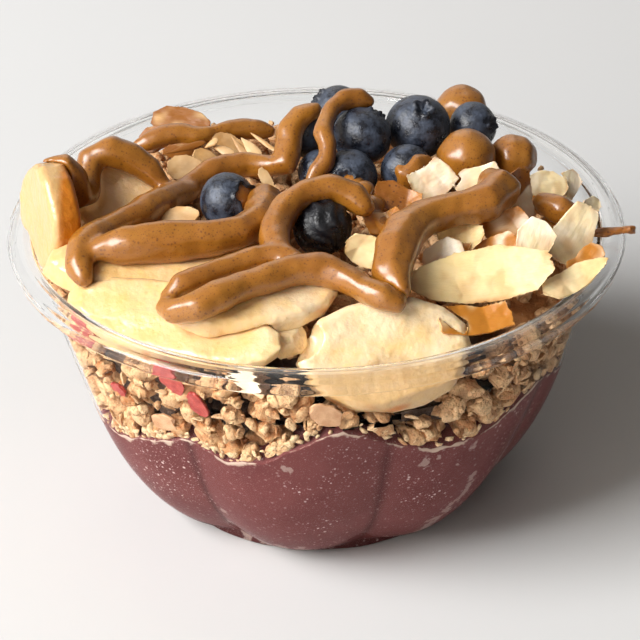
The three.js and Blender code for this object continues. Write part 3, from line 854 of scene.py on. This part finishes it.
for node in solids(("coconut_", "almond_")):
    coconut = node.startswith("coconut")
    name = node.replace("coconut", "chip").replace("almond", "flake")
    piece, corners, reach = thin_piece(node, name, 0.04 if coconut else 0.02)
    soaked = noise_at(corners, 5 * MM)
    if coconut:
        amount = 1.0 if node in AMBER else 0.45
        climb = (corners[:, 2] - corners[:, 2].min()) / np.ptp(corners[:, 2])
        *way, least = DIPPED.get(node, NOT_DIPPED)
        along = (corners - corners.mean(0)) @ np.array(way) / (np.ptp(corners, axis=0).max() / 2)
        paint(piece, rim=ramp(reach, 0.72, 0.98),
              golden=np.full(len(corners), 1.0 if node in YELLOW else 0.15),
              honeyed=ramp(0.6 * soaked - climb * 0.6 + amount, 0.1, 0.7) * amount,
              dipped=ramp(along + 0.3 * soaked, least, least + 0.12))
        finish_piece(piece, chip_look, "coconut", node)
    else:
        # Skinned flakes are stained dark all over: partly real stain, partly painted shade on flakes
        # that face the lamp.
        skin, smeared = (1.0, 1.0) if node in SKINNED else (0.15, 0.4)
        paint(piece, rim=ramp(reach, 0.86, 0.95) * skin,
              honeyed=ramp(soaked + smeared, 0, 0.9) * smeared)
        finish_piece(piece, flake_look, "almond", node)

# %% Slivers
SLIVERS = {  # tip, other tip and width in millimetres, and how far butter stains it
    "sliver_low": ((-12, -2, 95), (-7, 2, 96.5), 3.0, 0.1),
    "sliver_pale": ((-20, -21, 96.5), (-15, -28, 95.5), 3.6, 0.0),
    "sliver_point": ((-34, 33, 95), (-30, 34, 97.5), 3.0, 0.1),
    "sliver_gold": ((-32, 35, 95), (-25, 30, 94), 4.5, 0.3),
    "sliver_edge": ((-26, 37, 97), (-21, 30, 93.5), 3.2, 0.5),
    "sliver_fan": ((-23, 36, 97), (-17, 28, 94), 5.5, 0.1),
    "sliver_thin": ((-20, 38, 97.5), (-12, 31, 94.5), 2.4, 0.2),
    "sliver_brown": ((-48, 30, 94), (-34, 37, 95), 3.0, 1.0),
}
SLIVER_HALF_THICKNESS = 0.45 * MM
TILTED = Vector((0, -0.5, 0.85))  # the way that the flat side of a sliver faces, about
for name, (tip, other, width, stain) in SLIVERS.items():
    piece = new_ball(4, name=name)
    tip, other = Vector(tip) * MM, Vector(other) * MM
    along = (other - tip).normalized()
    up = (TILTED - along * along.dot(TILTED)).normalized()
    corners = positions(piece)
    corners[:, 1] *= 0.6 + 0.4 * corners[:, 0]
    corners *= np.array([(other - tip).length / 2, width / 2 * MM, SLIVER_HALF_THICKNESS])
    move_corners(piece, corners)
    turn = Matrix((along, up.cross(along), up)).transposed().to_4x4()
    piece.data.transform(Matrix.Translation((tip + other) / 2) @ turn)
    own_frame(roughen(piece, THIN_WAVES))
    paint(piece, rim=np.zeros(len(corners)), honeyed=np.full(len(corners), stain))
    finish_piece(piece, flake_look, "almond")

# %% [markdown]
# ## Nut butter
# The butter was poured in thick ropes that sag onto what lies under them. The solids
# hold the ropes' routes with six-sided sections. An even remesh, many rounds of
# smoothing and a slight swelling turn them into thick paste that touches its bed.

# %% Nut butter
butter_look = look = Look("nut_butter")
look.base(look.blotches(50, 0.35, 0.65), (148, 91, 25), (162, 105, 32))
look.coat(look.specks(960, 0.52), (108, 60, 22), 0.8)
look.coat(look.specks(1800, 0.6), (116, 67, 26), 0.6)
look.shade(Roughness=0.34, Coat_Weight=0.5, Coat_Roughness=0.18)
look.glow(0.1, (1.0, 0.5, 0.2), 2 * MM)
look.bump(look.blotches(420, 0.3, 0.7), 0.08 * MM, 0.35)

bed = search_tree([nodes[n] for n in nodes if n != "bowl" and not n.startswith("nut_butter")])


def slump(piece, reach, spread):
    """Lets the low sides of a paste sink and spread onto what lies under them."""
    corners = positions(piece)
    normals = np.empty(len(corners) * 3)
    piece.data.vertices.foreach_get("normal", normals)
    for i, normal in enumerate(normals.reshape(-1, 3)):
        if normal[2] > 0.4:
            continue
        start = Vector(corners[i]) + Vector((0, 0, 0.5 * MM))
        spot = bed.ray_cast(start, Vector((0, 0, -1)), reach)[0]
        if spot is None:
            continue
        gap = max(corners[i][2] - spot.z, 0)
        share = 1 - gap / reach
        outward = Vector((normal[0], normal[1], 0)) * spread * share
        corners[i] += np.array((outward.x, outward.y, -0.8 * gap * share))
    move_corners(piece, corners)
    modify(piece, "SMOOTH", iterations=6)


for node in solids("nut_butter_"):
    piece = soften(copied(node, node.replace("nut_butter", "rope")), 0.62 * MM, 44, 0.25 * MM)
    roughen(piece, ("paste_swells", 8 * MM, 1.3 * MM))
    slump(piece, 1.8 * MM, 0.3 * MM)
    finish_piece(piece, butter_look, "nut_butter", node)

# %% [markdown]
# ### Where butter coats a berry or pools
# A coat is a ball a millimetre larger than its berry. Outside the coated part it
# shrinks under the skin, so that only the coat shows, with a soft thick edge. A pool
# is a few flat beads that remeshing melts into one.

# %% Coats and pools
COATS = {  # the way a coat faces, the cosine at its edge, its thickness, and its edge's waves
    "blueberry_coated": ((-0.1, -0.45, 0.9), -0.35, 1.1, 0.3),
    "blueberry_edge": ((0.0, -0.3, 0.95), -0.3, 1.0, 0.3),
    "blueberry_capped": ((-0.3, -0.3, 0.9), -0.1, 1.1, 0.3),
    "blueberry_tucked": ((0.6, -0.7, -0.3), 0.3, 1.0, 0.3),
    "blueberry_left": ((1.0, 0.1, -0.4), 0.7, 1.1, 0.1),
}
for node, (way, least, thick, waves) in COATS.items():
    centre, radius = balls[node]
    piece = new_ball(6, name=node.replace("blueberry", "coat"))
    corners = positions(piece)
    wave = np.array([noise.noise(Vector(c) * 1.8 + centre * 300) for c in corners])
    inside = corners @ np.array(Vector(way).normalized()) - least + waves * wave
    coat = (thick + 0.5 * wave) * MM * ramp(inside, 0.0, 0.22)
    reach = radius * 1.01 + coat - 0.8 * MM * ramp(-inside, 0.0, 0.1)
    move_corners(piece, corners * reach[:, None] + np.array(centre))
    finish_piece(piece, butter_look, "nut_butter")

POOLS = {  # beads of a pool: place and radius in millimetres
    "pool_berries": ((11, 4, 98, 3.6), (14, -2, 98.5, 3.4), (16.5, -9, 97, 3.8), (18.5, -16, 95, 4.0)),
    "pool_side": ((65, 5, 90.5, 3.6), (68.5, 1, 91, 4.2), (71.5, -4, 90.5, 4.2), (69, -9, 89.5, 3.6)),
}
FLATTENED = Matrix.Diagonal((1, 1, 0.7, 1))
for name, beads in POOLS.items():
    parts = []
    for *at, radius in beads:
        part = new_ball(3, radius * MM)
        part.data.transform(Matrix.Translation(Vector(at) * MM) @ FLATTENED)
        parts.append(part)
    pool = soften(joined(parts, name), 0.7 * MM, 12, 0.3 * MM)
    finish_piece(pool, butter_look, "nut_butter")

# %% [markdown]
# ## Granola
# Granola is hundreds of baked lumps, each a few oat flakes stuck together. A dark
# core fills the middle of the heap, and real clusters stand round it against the wall
# and on top. A few clusters are modelled and then scattered by a seeded rule, which
# leaves out any that would cut a topping.

# %% Core of the heap
# Painted shade: the core is dark brown where it shows between clusters, standing for the shade in the
# gaps.
core_look = look = Look("granola_core")
dusk = look.blotches(260, 0.35, 0.65)
look.base(dusk, (66, 50, 42), (96, 74, 58))
look.coat(look.painted("top"), (178, 122, 72))
look.shade(Roughness=0.85)
look.bump(dusk, 0.6 * MM)

FRONT_TOP = 64 * MM  # the core stays below this in front, where a slice hangs at the wall
core = roughen(soften(copied("granola", "granola_core"), 1.8 * MM, 4, -2.4 * MM),
               ("core_lumps", 5 * MM, 2.0 * MM))
topping_tree = search_tree([nodes[n] for n in nodes if n not in ("bowl", "acai", "granola")])


def clearance(point):
    """How far a point stands clear of the toppings, less than 0 inside one."""
    spot, normal, _, distance = topping_tree.find_nearest(point)
    return distance if (point - spot).dot(normal) > 0 else -distance


corners = positions(core)
for _ in range(3):  # the core's top sinks where it would touch a topping
    for corner in corners:
        if corner[2] > 60 * MM and clearance(Vector(corner)) < 1.5 * MM:
            corner[2] -= 2.5 * MM
by_slice = (np.abs(headings(corners) - 12) < 40) & (from_axis(corners) > 46 * MM)
corners[:, 2] = np.where(by_slice, np.minimum(corners[:, 2], FRONT_TOP), corners[:, 2])
move_corners(core, corners)
# It keeps the dark shade colour only low down and towards the front; on top and to the sides it is
# granola brown.
elsewhere = ramp(np.abs(headings(corners)), 55, 85)
paint(core, top=np.maximum(elsewhere, ramp(corners[:, 2], 70 * MM, 79 * MM)))


# %% Cluster models
def any_way():
    return Vector([random.gauss(0, 1) for _ in range(3)]).normalized()


def any_turn():
    axis = any_way()
    return Matrix.Rotation(random.uniform(0, 2 * math.pi), 4, axis)


def oat(half_length, half_width, at, turn):
    """One flattened grain with a furrow, as part of a cluster or loose."""
    grain = new_ball(2)
    corners = positions(grain)
    corners[:, 2] *= 1 - 0.35 * np.exp(-(corners[:, 1] / 0.3) ** 2)
    move_corners(grain, corners * np.array([half_length, half_width, 0.6 * MM]))
    grain.data.transform(Matrix.Translation(at) @ turn)
    return grain


def crumb(radius, at):
    """A small rough scrap."""
    scrap = new_ball(1, radius)
    corners = positions(scrap)
    corners *= np.array([[random.uniform(0.5, 1.4)] for _ in corners])
    move_corners(scrap, corners * np.array([1.2, 0.9, 0.6]))
    scrap.data.transform(Matrix.Translation(at) @ any_turn())
    return scrap


def cluster_model(name, flakes, scraps):
    """A chunk of baked oats, about 9 mm across, with facets, flakes and scraps."""
    lump = new_ball(3, 4.2 * MM)
    cuts = [[random.gauss(0, 1) for _ in range(3)] + [random.uniform(0.6, 0.85)] for _ in range(8)]
    chipped(lump, cuts, [random.uniform(*span) for span in ((0.9, 1.15), (0.7, 0.9), (0.65, 0.85))])
    parts = [lump]
    for _ in range(flakes):
        way = any_way()
        flat = facing(way) @ Matrix.Rotation(random.uniform(0, 6), 4, "Z")
        size = random.uniform(1.8, 2.8) * MM
        parts.append(oat(size, size * 0.75, way * random.uniform(2.4, 3.2) * MM, flat))
    for _ in range(scraps):
        way = any_way()
        parts.append(crumb(random.uniform(0.8, 1.5) * MM, way * random.uniform(2.6, 3.4) * MM))
    joined(parts, name)
    roughen(lump, ("cluster_crags", 2.2 * MM, 1.3 * MM))
    reach = np.linalg.norm(positions(lump), axis=1)
    # Painted shade: a lump is darker where its surface lies deep, in its crevices.
    paint(lump, crevice=ramp(-reach, -2.9 * MM, -2.0 * MM))
    return lump


random.seed(21)
WALL_KINDS, HEAP_KINDS = 10, 8  # rich clusters for the wall, and plainer ones for the top
ORIGIN = Vector((0, 0, 0))
cluster_models = [cluster_model(f"cluster_{i}", 3, 5) for i in range(WALL_KINDS)]
cluster_models += [cluster_model(f"heap_cluster_{i}", 2, 2) for i in range(HEAP_KINDS)]
scrap_models = [crumb(1 * MM, ORIGIN) for _ in range(4)]
flake_models = [oat(2.9 * MM, 2.1 * MM, ORIGIN, Matrix.Identity(4)) for _ in range(2)]


# %% Scattering
def shape_of(model):
    triangles = np.array([f.vertices[:] for f in model.data.polygons])
    crevice = model.data.attributes.get("crevice")
    depth = np.zeros(len(model.data.vertices), dtype=np.float32)
    if crevice:
        crevice.data.foreach_get("value", depth)
    return positions(model), triangles, depth


def scattered(name, shapes, placements):
    """Joins one copy of a shape for each placement: its number, its matrix and its tone."""
    all_corners, all_faces, tones, crevices = [], [], [], []
    count = 0
    for number, matrix, tone in placements:
        corners, triangles, depth = shapes[number]
        turn = np.array(matrix)
        all_corners.append(corners @ turn[:3, :3].T + turn[:3, 3])
        all_faces.append(triangles + count)
        tones.append(np.full(len(corners), tone))
        crevices.append(depth)
        count += len(corners)
    mesh = bpy.data.meshes.new(name)
    mesh.from_pydata(np.vstack(all_corners), [], np.vstack(all_faces))
    piece = new_object(name, mesh)
    paint(piece, tone=np.concatenate(tones), crevice=np.concatenate(crevices))
    return piece


def wall_at(heading, height):
    """The way to the room's wall at a heading and height, the spot there and its normal."""
    way = Vector((math.sin(math.radians(heading)), -math.cos(math.radians(heading)), 0))
    spot, normal, _, _ = room_tree.ray_cast(Vector((0, 0, height)), way)
    return way, spot, normal


WIDEST = 82.8 * MM  # from the axis to the wall above the room's lid
MARGIN = INTO_WALL + 0.05 * MM


def hold_inside(piece):
    """Brings every corner that stands outside the room back to a margin inside it."""
    corners = positions(piece)
    for i, corner in enumerate(corners):
        spot, normal, _, _ = room_tree.find_nearest(Vector(corner))
        depth = (spot - Vector(corner)).dot(normal)
        if abs(normal.z) > 0.9:  # only the lid is near, and a cluster may stand through it
            corners[i][:2] *= min(1, WIDEST / math.hypot(corner[0], corner[1]))
        elif depth < MARGIN:
            corners[i] = Vector(corner) + normal * (depth - MARGIN)
    move_corners(piece, corners)


# %% Clusters against the wall
random.seed(8)
FRUIT = (  # red dried fruit behind the wall: heading, height, half length, turn
    (-54.5, 79, 5.5, 25), (-30.5, 76, 5.2, 60), (-25, 68.5, 3.9, 75), (-46.5, 62.5, 2.6, 10))
NUTS = (  # nuts behind the wall: heading, height, half length, turn, half width
    (1.5, 69.5, 5.2, 35, 3.4), (-35.5, 56, 4.5, -15, 2.8))


def at_wall(heading, height, turn=0.0):
    """A frame on the wall: its Z looks into the bowl, and its X lies along the wall, turned."""
    way, spot, normal = wall_at(heading, height * MM)
    inward = -normal if normal.dot(way) > 0 else normal
    return Matrix.Translation(spot) @ facing(inward) @ Matrix.Rotation(math.radians(turn), 4, "Z")


def is_free(point, room_needed):
    """Whether a place keeps clear of the fruit and the nuts at the wall."""
    return all((point - at_wall(heading, height).translation).length
               >= half_length * 0.75 * MM + room_needed
               for heading, height, half_length, *_ in FRUIT + NUTS)


def rows_at_wall(rows, per_row, spacing, inset, lowest, sizes, gap, kinds, tones=(0, 1), kept=1.0):
    """Rows of small shapes round the wall, from the acai's edge up to the rim.

    Lengths are in millimetres. On the right only a share of them is kept.
    """
    placements = []
    for row in range(rows):
        for column in range(per_row):
            heading = (column + 0.5 * (row % 2) + random.uniform(-0.35, 0.35)) * 360 / per_row
            heading = heading - 360 if heading > 180 else heading
            height = float(np.interp(heading, DEGREES, edge_height)) + lowest * MM
            height += (row + random.uniform(-0.3, 0.3)) * spacing * MM
            size = random.uniform(*sizes)
            matrix = any_turn() @ Matrix.Scale(size, 4)
            highest = (80 if -15 < heading < 45 else 85) * MM
            if height + 0.5 * spacing * MM * size > highest:
                continue
            if 0 < heading < 120 and random.random() > kept:
                continue
            way, spot, _ = wall_at(heading, height)
            radius = Vector((spot.x, spot.y, 0)).length
            point = way * (radius - inset * MM * size) + Vector((0, 0, height))
            if clearance(point) > gap * MM * size and is_free(point, 0.5 * gap * MM * size):
                kind, tone = random.choice(kinds), random.uniform(*tones)
                placements.append((kind, Matrix.Translation(point) @ matrix, tone))
    return placements


cluster_shapes = [shape_of(m) for m in cluster_models]
rich = range(WALL_KINDS)
in_front = rows_at_wall(6, 54, 7.4, 3.5, 1.6, (0.7, 1.35), 2.6, rich, kept=0.75)
behind = rows_at_wall(5, 46, 8.5, 8.5, 2, (0.9, 1.3), 2.6, rich)
fringe = rows_at_wall(2, 200, 1.8, 0.6, -0.4, (0.6, 2.2), 1.2, range(4), (1.2, 2), 0.25)
between = rows_at_wall(7, 50, 5.0, 1.2, 3, (0.8, 2.2), 1.4, range(4), (0.4, 1.2), 0.4)
loose = rows_at_wall(5, 30, 7, 1.0, 2, (0.7, 1.1), 2.4, range(2), (0.6, 1.5))
wall_clusters = scattered("granola_at_wall", cluster_shapes, in_front)
inner_clusters = scattered("granola_behind", cluster_shapes, behind)
wall_scraps = scattered("scraps_at_wall", [shape_of(m) for m in scrap_models], fringe + between)
wall_flakes = scattered("flakes_at_wall", [shape_of(m) for m in flake_models], loose)
for piece in (wall_clusters, wall_scraps, wall_flakes):
    hold_inside(piece)

# %% Fruit and nuts at the wall
FACETS = ((1, 0.4, 0, 0.75), (-0.7, 0.8, 0, 0.7), (-0.5, -1, 0, 0.75), (0.6, -0.9, 0, 0.8))
HALF_THICKNESS = 1.6 * MM


def lay_at_wall(piece, place, lift, half_length, half_width):
    """Stretches a shape of radius 1 and lays it on the wall."""
    shape = Matrix.Diagonal((half_length * MM, half_width * MM, HALF_THICKNESS, 1))
    piece.data.transform(at_wall(*place) @ Matrix.Translation((0, 0, lift * MM)) @ shape)


look = Look("dried_red_fruit")
look.base(look.blotches(500, 0.35, 0.65), (156, 48, 43), (192, 84, 72))
look.shade(Roughness=0.5)
look.glow(0.15, (1.0, 0.3, 0.2), 1.5 * MM)
look.bump(look.blotches(700, 0.3, 0.7), 0.2 * MM, 0.6)
for number, (heading, height, half_length, turn) in enumerate(FRUIT):
    bpy.ops.mesh.primitive_cube_add(size=2)
    piece = bpy.context.object
    piece.name = f"fruit_{number}"
    subdivide(piece, 4)
    lay_at_wall(piece, (heading, height, turn), 0.7, half_length * 1.3, half_length * 0.8)
    hold_inside(roughen(piece, ("fruit_folds", 2.5 * MM, 2.2 * MM)))
    finish_piece(piece, look, "red_fruit")

look = Look("nut_half")
look.base(look.blotches(300, 0.35, 0.65), (196, 142, 100), (220, 174, 132))
look.shade(Roughness=0.5)
look.bump(look.blotches(600, 0.3, 0.7), 0.15 * MM, 0.5)
for number, (heading, height, half_length, turn, half_width) in enumerate(NUTS):
    piece = new_ball(4, name=f"nut_{number}")
    lay_at_wall(piece, (heading, height, turn), 0.8, half_length, half_width)
    chipped(piece, FACETS, 1.1)
    hold_inside(roughen(piece, ("nut_dents", 2.5 * MM, 1.2 * MM)))
    finish_piece(piece, look, "granola")

# %% Clusters on top
GOLDEN_ANGLE = 137.5
TRIES = 440
HEAP_RADIUS = 81 * MM
HEAP_TOP = 85 * MM
HEAP_FALL = 9.5 * MM
placements = []
for i in range(TRIES):
    radius = HEAP_RADIUS * math.sqrt((i + 0.5) / TRIES)
    heading = math.radians(i * GOLDEN_ANGLE)
    size = random.uniform(0.65, 1.3)
    height = HEAP_TOP - HEAP_FALL * (radius / (80 * MM)) ** 4 + random.uniform(-2.0, 1.5) * MM
    point = Vector((radius * math.sin(heading), -radius * math.cos(heading), height))
    point += Vector((random.gauss(0, 1.2 * MM), random.gauss(0, 1.2 * MM), 0))
    matrix = any_turn() @ Matrix.Scale(size, 4)
    by_front_wall = radius > 66 * MM and math.cos(heading - 0.1) > 0.68  # slices lie there
    if clearance(point) > 2.7 * MM * size and not by_front_wall:
        kind, tone = random.randrange(WALL_KINDS, WALL_KINDS + HEAP_KINDS), random.random()
        placements.append((kind, Matrix.Translation(point) @ matrix, tone))
heap_clusters = scattered("granola_on_top", cluster_shapes, placements)
hold_inside(heap_clusters)
for model in cluster_models + scrap_models + flake_models:
    bpy.data.objects.remove(model)

# %% Granola look
look = Look("baked_oats")
tone = look.painted("tone")
look.base(tone, (184, 114, 60), (242, 196, 148))
look.coat(look.blotches(300, 0.4, 0.66), (238, 198, 148))
look.coat(look.counted("SUBTRACT", tone, 1.0), (240, 210, 166))
look.coat(look.blotches(900, 0.52, 0.7), (132, 80, 40), 0.7)
# Painted shade in the crevices.
look.coat(look.painted("crevice"), (104, 62, 32), 0.6)
look.shade(Roughness=0.6, Specular_IOR_Level=0.25)
look.bump(look.blotches(1200, 0.25, 0.75), 0.5 * MM, 0.9)
finish_piece(wall_clusters, look, "granola", "granola")
for piece in (wall_scraps, wall_flakes, inner_clusters, heap_clusters):
    finish_piece(piece, look, "granola")
finish_piece(core, core_look, "granola")

# %% [markdown]
# ## Clearing up
# The helper is removed.

# %% Finish
bpy.data.objects.remove(room)
